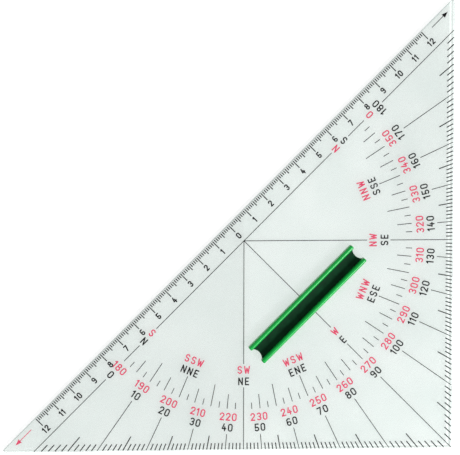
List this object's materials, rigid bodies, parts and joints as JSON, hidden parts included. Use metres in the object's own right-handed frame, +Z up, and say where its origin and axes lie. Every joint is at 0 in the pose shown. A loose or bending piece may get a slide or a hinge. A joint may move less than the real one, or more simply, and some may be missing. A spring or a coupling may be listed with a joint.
{
  "type": "navigation protractor set square",
  "caption": "Clear 45 degree chart set square with a printed protractor, compass rose and centimetre scale, and a finger grip that lifts off the plate.",
  "frame": {"origin": "the protractor's centre on the plate's underside, where the baseline and the 45, 90 and 135 degree lines meet", "axes": "+X along the hypotenuse towards the 180 degree end, -Y towards the right-angle corner, +Z up off the chart"},
  "size_m": [0.2806, 0.1411, 0.0065],
  "materials": {
    "clear_acrylic": "polished clear sheet with a faint grey-green tint",
    "green_plastic": "smooth moulded plastic, bright green",
    "black_rubber": "matt soft strip, near black",
    "black_ink": "screen-printed black ink",
    "red_ink": "screen-printed red ink"
  },
  "bodies": {
    "plate": {"plate": "clear_acrylic", "rose_lines": "black_ink", "point_ticks": "black_ink", "half_point_ticks": "black_ink", "quarter_point_ticks": "black_ink", "one_degree_ticks": "black_ink", "five_degree_ticks": "black_ink", "ten_degree_lines": "black_ink", "millimetre_ticks": "black_ink", "five_millimetre_ticks": "black_ink", "centimetre_ticks": "black_ink", "centimetre_numerals": "black_ink", "degree_numerals": "black_ink", "compass_letters": "black_ink", "black_arrow": "black_ink", "reciprocal_numerals": "red_ink", "reciprocal_letters": "red_ink", "red_arrow": "red_ink"},
    "grip": {"grip_frame": "green_plastic", "grip_inlay": "black_rubber"}
  },
  "joints": [
    {"name": "grip_lift", "type": "slide", "parent": "plate", "child": "grip", "axis": [0, 0, 1], "range_m": [0, 0.015]}
  ]
}
